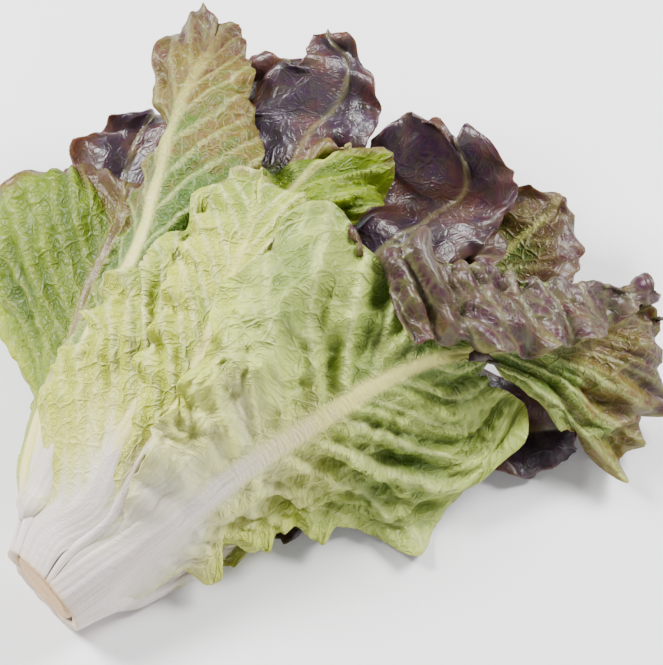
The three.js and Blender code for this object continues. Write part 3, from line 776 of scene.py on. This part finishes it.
def lathed(profile, sides):
    """Turns (along, radius) pairs about the stem's axis. Along also grows with y by the slant."""
    along, radius = np.array(profile, float).T
    at = np.concatenate([[0], np.cumsum(np.hypot(np.diff(along), np.diff(radius)))])
    fine = np.linspace(0, at[-1], CORE_ROWS)
    along, radius = np.interp(fine, at, along), np.interp(fine, at, radius)
    radius[0] = radius[-1] = POLE_RADIUS
    turn = np.linspace(0, 2 * np.pi, sides, endpoint=False)
    rough = 0.35 * layered(np.cos(turn) * 3 + 9, np.sin(turn) * 3 + 9, 5)[None, :]
    wide = radius[:, None] + rough * step(8, 14, radius)[:, None]
    y, z = wide * np.sin(turn), wide * np.cos(turn)
    dome = 0.3 * layered(y / 5, z / 5, 71) * np.where(along < 1, 1, 0)[:, None]
    x = along[:, None] + CUT_SLANT * y + dome
    points = np.stack([x, y, STEM_HEIGHT + z], -1)
    rows, count = points.shape[:2]
    grid = np.arange(rows * count).reshape(rows, count)
    here, across = grid[:-1], np.roll(grid[:-1], -1, axis=1)
    there, beyond = grid[1:], np.roll(grid[1:], -1, axis=1)
    quads = np.stack([here, there, beyond, across], -1).reshape(-1, 4)
    return points, wide, along[:, None] * np.ones(count), quads


points, core_radius, core_along, quads = lathed(CORE_PROFILE, CORE_SIDES)
face = 1 - step(1.0, 2.2, core_along)
core = mesh_piece("stem_core_cut", points.reshape(-1, 3), quads, {"radius": core_radius, "face": face})
# Each of the two tiny open ends gets one face, and then all faces are turned outwards.
shell = bmesh.new()
shell.from_mesh(core.data)
shell.edges.ensure_lookup_table()
bmesh.ops.holes_fill(shell, edges=[edge for edge in shell.edges if edge.is_boundary], sides=0)
bmesh.ops.recalc_face_normals(shell, faces=shell.faces)
shell.to_mesh(core.data)
shell.free()
print("core:", len(core.data.polygons), "faces")

# %% [markdown]
# ## Leaf finish
#
# One set of node groups serves every leaf. The first makes patterns in real units from the UV
# map: soft mottling, a net of fine veins (the edges of Voronoi cells) and striations along the
# petiole. The second turns the masks on the mesh into colour. The third makes the fine relief.
# Principled stays in each material.


# %% Node helpers
def linear(r, g, b):
    """An sRGB colour as the linear colour that nodes use: ((c + 0.055) / 1.055) ^ 2.4."""
    c = np.array([r, g, b]) / 255
    return (*np.where(c > 0.04045, ((c + 0.055) / 1.055) ** 2.4, c / 12.92).tolist(), 1.0)


class Nodes:
    """Adds nodes to one tree. A number, a colour or an output can feed any input."""

    def __init__(self, tree):
        self.tree = tree

    def feed(self, socket, value):
        if isinstance(value, bpy.types.NodeSocket):
            self.tree.links.new(value, socket)
        elif value is not None:
            socket.default_value = value

    def add(self, kind, inputs=(), **settings):
        node = self.tree.nodes.new("ShaderNode" + kind)
        for key, value in settings.items():
            setattr(node, key, value)
        for key, value in dict(inputs).items():
            self.feed(node.inputs[key], value)
        return node

    def math(self, operation, a, b=None, c=None):
        return self.add("Math", zip(range(3), (a, b, c)), operation=operation, use_clamp=False).outputs[0]

    def times(self, a, b):
        return self.math("MULTIPLY", a, b)

    def sum(self, a, factor, b):
        return self.math("MULTIPLY_ADD", a, factor, b)

    def noise(self, place, scale, detail, roughness=0.5):
        inputs = {"Vector": place, "Scale": scale, "Detail": detail, "Roughness": roughness}
        return self.add("TexNoise", inputs).outputs

    def mix(self, share, a, b):
        return self.add("Mix", {0: share, 6: a, 7: b}, data_type="RGBA").outputs[2]

    def between(self, value, low, high, to_low=0.0, to_high=1.0):
        inputs = {0: value, 1: low, 2: high, 3: to_low, 4: to_high}
        return self.add("MapRange", inputs, interpolation_type="SMOOTHSTEP").outputs[0]

    def mask(self, name):
        return self.add("Attribute", attribute_name=name).outputs["Fac"]


def new_material(name):
    """A material with nodes, the helper for its tree, and its Principled shader."""
    material = bpy.data.materials.new(name)
    material.use_nodes = True
    return material, Nodes(material.node_tree), material.node_tree.nodes["Principled BSDF"]


def group(name, inputs, outputs, build):
    """A node group with the named sockets. build gets the helper and the inputs, and returns the
    outputs by name."""
    tree = bpy.data.node_groups.new(name, "ShaderNodeTree")
    for label, kind in inputs.items():
        tree.interface.new_socket(label, in_out="INPUT", socket_type="NodeSocket" + kind)
    for label, kind in outputs.items():
        tree.interface.new_socket(label, in_out="OUTPUT", socket_type="NodeSocket" + kind)
    nodes = Nodes(tree)
    start, end = tree.nodes.new("NodeGroupInput"), tree.nodes.new("NodeGroupOutput")
    made = build(nodes, {label: start.outputs[label] for label in inputs})
    for label, socket in made.items():
        nodes.feed(end.inputs[label], socket)
    return tree


# %% Node groups of the leaves
def patterns(n, given):
    """Mottling at 20 mm and 4 mm, a vein net with cells of 7 mm and 2.4 mm, and streaks."""
    spot = given["Place"]
    soft = n.noise(spot, 5.0, 3.0, 0.6)[0]
    fine = n.noise(spot, 26.0, 4.0, 0.65)[0]
    warp = n.noise(spot, 12.0, 2.0)[1]
    bent = n.add("VectorMath", {0: warp, 1: (0.05, 0.05, 0.05)}, operation="MULTIPLY_ADD")
    n.feed(bent.inputs[2], spot)
    cells = [
        n.add("TexVoronoi", {"Vector": bent.outputs[0], "Scale": scale}, feature="DISTANCE_TO_EDGE")
        for scale in (14.0, 42.0)
    ]
    wide = n.between(cells[0].outputs[0], 0.0, 0.13, 0.9, 0.0)
    close = n.between(cells[1].outputs[0], 0.0, 0.16, 0.5, 0.0)
    long = n.add("Mapping", {"Vector": spot, "Scale": (90.0, 2.2, 1.0)}, vector_type="POINT").outputs[0]
    streak = n.noise(long, 1.0, 3.0)[0]
    short = n.add("Mapping", {"Vector": spot, "Scale": (14.0, 75.0, 1.0)}, vector_type="POINT").outputs[0]
    rung = n.noise(short, 1.0, 2.0)[0]
    net = n.math("MAXIMUM", wide, close)
    return {"Soft": soft, "Fine": fine, "Net": net, "Streak": streak, "Rung": rung}


def tinted(n, given):
    """Green by brightness, with painted light on fold crests, and deep green as painted shade in
    the fold hollows, then olive and purple as red grows, then paler veins, white for the petiole
    and midrib, and a peach foot where the leaf was cut."""
    uneven = n.sum(given["Soft"], 0.5, -0.25)
    # Bright holds the leaf's own tone and yellow margins plus painted light on fold crests; the brightest
    # spots turn yellow-green.
    lively = n.math("ADD", given["Bright"], uneven)
    leafy = n.mix(n.between(lively, 0.0, 1.0), given["Deep"], given["Fresh"])
    sunny = n.mix(n.between(lively, 0.8, 1.15), leafy, linear(178, 186, 40))
    # Painted shade: the hollows of the folds mix three quarters of the way to the deep green.
    green = n.mix(n.times(given["Valley"], 0.75), sunny, given["Deep"])
    spread = n.sum(given["Fine"], 0.5, n.sum(uneven, 0.9, -0.25))
    red = n.math("ADD", given["Red"], n.times(spread, n.between(given["Red"], 0.0, 0.25)))
    turned = n.mix(n.between(red, 0.12, 0.5), green, given["Olive"])
    warm = n.mix(n.between(given["Soft"], 0.42, 0.7), given["Purple"], linear(74, 36, 32))
    dark = n.mix(n.between(red, 0.42, 0.95), turned, warm)
    light = n.times(given["Net"], n.between(given["Red"], 0.2, 0.9, 0.16, 0.08))
    netted = n.mix(light, dark, given["Vein"])
    share = n.times(given["Side vein"], n.between(given["Red"], 0.1, 0.8, 0.55, 0.15))
    veined = n.mix(share, netted, given["Vein"])
    blotch = n.mix(n.between(given["Fine"], 0.3, 0.65, 0.32, 0.0), veined, given["Deep"])
    stalk = n.mix(n.between(given["Streak"], 0.35, 0.7), given["White"], linear(218, 208, 204))
    cream = n.mix(n.between(given["Foot"], 0.15, 0.8), linear(224, 216, 128), stalk)
    left = n.between(given["Red"], 0.1, 0.8, 1.0, 0.25)
    rib = n.mix(n.times(given["Pale"], left), blotch, cream)
    return {"Colour": n.mix(given["Cut"], rib, linear(212, 190, 166))}


def fine_relief(n, given):
    """Fine wrinkles and the vein net as a bump on the blade. Streaks and rungs on the petiole."""
    wrinkle = n.sum(given["Fine"], 1.3, n.times(given["Net"], given["Rise"]))
    not_pale = n.between(given["Pale"], 0.1, 0.8, 1.0, 0.12)
    not_red = n.between(given["Red"], 0.2, 0.9, 1.0, 0.22)
    blade = n.times(wrinkle, n.times(not_pale, not_red))
    streaks = n.sum(given["Streak"], 0.35, n.times(given["Rung"], given["Rib"]))
    height = n.sum(streaks, given["Pale"], blade)
    bump = n.add("Bump", {"Strength": 0.7, "Distance": 0.0011, "Height": height})
    return {"Normal": bump.outputs[0]}


def sockets(kind, names):
    """Names in one string, with commas between them, as sockets of one kind."""
    return dict.fromkeys(names.split(", "), kind)


PATTERNS = group(
    "leaf_patterns", {"Place": "Vector"}, sockets("Float", "Soft, Fine, Net, Streak, Rung"), patterns
)
TINT = group(
    "leaf_tint",
    {
        **sockets("Float", "Soft, Fine, Net, Streak, Bright, Red, Pale, Foot, Valley, Side vein, Cut"),
        **sockets("Color", "Deep, Fresh, Olive, Purple, Vein, White"),
    },
    {"Colour": "Color"},
    tinted,
)
RELIEF = group(
    "leaf_relief",
    sockets("Float", "Fine, Net, Streak, Rung, Pale, Rib, Red, Rise"),
    {"Normal": "Vector"},
    fine_relief,
)
print("node groups:", PATTERNS.name, TINT.name, RELIEF.name)


def leaf_material(name, colours, rise, gloss):
    """A leaf finish: waxy and a little translucent. rise is the vein net's share of the bump."""
    material, n, shader = new_material(name)
    place = n.add("UVMap", uv_map="surface").outputs[0]
    seed = n.times(n.mask("seed"), 40.0)
    apart = n.add("CombineXYZ", {0: seed, 1: seed, 2: seed}).outputs[0]
    shapes = n.add("Group", node_tree=PATTERNS)
    n.feed(shapes.inputs["Place"], n.add("VectorMath", {0: place, 1: apart}).outputs[0])
    made = {label: shapes.outputs[label] for label in ("Soft", "Fine", "Net", "Streak", "Rung")}
    names = ("bright", "red", "pale", "foot", "valley", "cut", "rib")
    masks = {label.capitalize(): n.mask(label) for label in names}
    given = {**made, **masks, **colours, "Side vein": n.mask("vein"), "Rise": rise}
    tint = n.add("Group", node_tree=TINT)
    relief_group = n.add("Group", node_tree=RELIEF)
    for part in (tint, relief_group):
        for socket in part.inputs:
            n.feed(socket, given[socket.name])
    n.feed(shader.inputs["Base Color"], tint.outputs["Colour"])
    rough = n.math("ADD", n.between(masks["Red"], 0.2, 0.9, 0.44, 0.40), -0.08)
    n.feed(shader.inputs["Roughness"], n.sum(made["Fine"], 0.16, rough))
    n.feed(shader.inputs["Normal"], relief_group.outputs["Normal"])
    shader.inputs["Specular IOR Level"].default_value = gloss
    shader.inputs["Subsurface Weight"].default_value = 0.22
    shader.inputs["Subsurface Radius"].default_value = (1.0, 0.9, 0.35)
    shader.inputs["Subsurface Scale"].default_value = 0.0025
    return material


# %% Leaf materials by slot
WHITE = (204, 190, 182)


def palette(*colours):
    """The six colours of a finish, by the names of their sockets."""
    names = ("Deep", "Fresh", "Olive", "Purple", "Vein", "White")
    return {name: linear(*colour) for name, colour in zip(names, (*colours, WHITE))}


# For each slot: the material's name, its relief and gloss, then the colours from deep to vein.
FINISHES = {
    "ribbed_green_leaf": (
        "ribbed_green", 1.1, 0.4,
        (66, 96, 22), (188, 202, 98), (104, 78, 28), (60, 20, 44), (204, 210, 132),
    ),
    "pale_leaf": (
        "pale_yellow", 1.1, 0.4,
        (126, 148, 36), (186, 192, 66), (150, 130, 90), (110, 70, 70), (220, 218, 170),
    ),
    "bright_leaf": (
        "bright_yellow_green", 0.7, 0.4,
        (60, 84, 2), (128, 148, 2), (96, 78, 36), (80, 44, 46), (152, 160, 70),
    ),
    "olive_leaf": (
        "olive_green", 1.1, 0.4,
        (62, 80, 24), (120, 136, 46), (84, 60, 28), (62, 18, 40), (170, 168, 110),
    ),
    "purple_leaf": (
        "purple_brown", 1.1, 0.6,
        (52, 66, 26), (106, 120, 46), (48, 26, 30), (40, 14, 42), (78, 48, 62),
    ),
}
SLOTS = {
    slot: leaf_material(name, palette(*colours), rise, gloss)
    for slot, (name, rise, gloss, *colours) in FINISHES.items()
}
heart_leaves = [name for name in blades if name.startswith("heart")]
OF_SLOT = {
    "ribbed_green_leaf": ("front_leaf", "tall_leaf"),
    "pale_leaf": ("centre_leaf", "fold_leaf", "torn_petiole", *heart_leaves),
    "bright_leaf": ("left_leaf", "frill_leaf"),
    "olive_leaf": ("rib_leaf", "blush_leaf"),
}
SLOT_OF = {name: slot for slot, names in OF_SLOT.items() for name in names}
for name, blade in blades.items():
    slot = SLOT_OF.get(name, "purple_leaf")
    blade.data.materials.append(SLOTS[slot])
    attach(blade, "root")
    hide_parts(name)
print("leaf materials:", ", ".join(SLOTS))


# %% [markdown]
# ## Finish of the cut
#
# The flesh of the cut face is peach, with rings where the bundles of the stem end, and it dries
# to tan at the rim. The mesh carries each point's radius and whether it is on the face, so the
# rings follow the stem even where it is out of round.


# %% Core material
def core_shapes(n, given):
    """Rings by the sine of the radius, a tan rim from 12 to 15 mm, and specks above a threshold."""
    wobble = n.noise(given["Place"], 160.0, 3.0)[0]
    radius = n.sum(wobble, 3.0, n.math("ADD", given["Radius"], -1.5))
    rings = n.math("SINE", n.times(radius, 2.4))
    rim = n.between(radius, 11.2, 14.2)
    grain = n.noise(given["Place"], 700.0, 3.0)[0]
    specks = n.between(grain, 0.63, 0.70)
    flesh = n.mix(n.between(rings, -1.0, 1.0, 0.0, 0.35), linear(208, 164, 108), linear(192, 144, 90))
    rimmed = n.mix(n.times(rim, 0.75), flesh, linear(196, 158, 104))
    dotted = n.mix(n.times(specks, 0.75), rimmed, linear(122, 78, 52))
    colour = n.mix(given["Face"], linear(205, 192, 165), dotted)
    height = n.sum(rings, 0.2, n.math("ADD", grain, n.times(wobble, 0.8)))
    bump = n.add("Bump", {"Strength": 0.6, "Distance": 0.0008, "Height": height})
    return {"Colour": colour, "Normal": bump.outputs[0]}


CORE = group(
    "core_cut",
    {"Place": "Vector", "Radius": "Float", "Face": "Float"},
    {"Colour": "Color", "Normal": "Vector"},
    core_shapes,
)
material, n, shader = new_material("cut_stem_flesh")
made = n.add("Group", node_tree=CORE)
n.feed(made.inputs["Place"], n.add("TexCoord").outputs["Object"])
n.feed(made.inputs["Radius"], n.mask("radius"))
n.feed(made.inputs["Face"], n.mask("face"))
n.feed(shader.inputs["Base Color"], made.outputs["Colour"])
n.feed(shader.inputs["Normal"], made.outputs["Normal"])
shader.inputs["Roughness"].default_value = 0.42
shader.inputs["Subsurface Weight"].default_value = 0.2
shader.inputs["Subsurface Scale"].default_value = 0.003
core.data.materials.append(material)
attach(core, "root")
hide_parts("stem_core")

# %% [markdown]
# ## Stage, light and camera
#
# A plain white floor, two strong soft lights high on the left and right, which rake across the
# puckers, a weak fill and a dim white world. The camera looks down on the head with a long lens,
# with the cut stem towards it.

# %% Floor, lights, camera
floor_mesh = bpy.data.meshes.new("floor")
floor_mesh.from_pydata([(-3, -3, 0), (3, -3, 0), (3, 3, 0), (-3, 3, 0)], [], [(0, 1, 2, 3)])
floor = bpy.data.objects.new("floor", floor_mesh)
bpy.context.scene.collection.objects.link(floor)
floor_material, _, floor_shader = new_material("white_floor")
floor_shader.inputs["Base Color"].default_value = (0.9, 0.9, 0.9, 1)
floor_shader.inputs["Roughness"].default_value = 0.7
floor_mesh.materials.append(floor_material)

AZIMUTH, ELEVATION, DISTANCE = np.radians(-55), np.radians(65), 1100.0
TARGET = np.array([148.0, -37.0, 50.0])
level = np.cos(ELEVATION)
BACK = np.array([np.sin(AZIMUTH) * level, -np.cos(AZIMUTH) * level, np.sin(ELEVATION)])
RIGHT = np.cross([0, 0, 1], BACK)
RIGHT /= np.linalg.norm(RIGHT)
UP = np.cross(BACK, RIGHT)


def aimed(thing, position, target):
    """Turns an object so that its -Z axis looks at the target."""
    where, look = Vector(placed(position)), Vector(placed(target))
    thing.location = where
    thing.rotation_euler = (look - where).to_track_quat("-Z", "Y").to_euler()
    bpy.context.scene.collection.objects.link(thing)


def area_light(name, offset, size, power):
    """A square soft light at an offset in the camera's own axes: right, up and back, in mm."""
    data = bpy.data.lights.new(name, "AREA")
    data.size = size
    data.energy = power
    position = TARGET + RIGHT * offset[0] + UP * offset[1] + BACK * offset[2]
    aimed(bpy.data.objects.new(name, data), position, TARGET)


area_light("key", (-640, 520, 520), 0.32, 25)
area_light("rim", (640, 560, 480), 0.35, 19)
area_light("fill", (500, -600, 700), 1.0, 5)

world = bpy.data.worlds.new("studio")
world.use_nodes = True
world.node_tree.nodes["Background"].inputs[0].default_value = (1, 1, 1, 1)
world.node_tree.nodes["Background"].inputs[1].default_value = 0.26
bpy.context.scene.world = world

lens = bpy.data.cameras.new("camera")
lens.lens = 147
lens.sensor_width = 36
lens.clip_start = 0.05
camera = bpy.data.objects.new("camera", lens)
aimed(camera, TARGET + BACK * DISTANCE, TARGET)
bpy.context.scene.camera = camera
print("camera at", np.round(camera.location, 2).tolist(), "with a lens of", lens.lens, "mm")
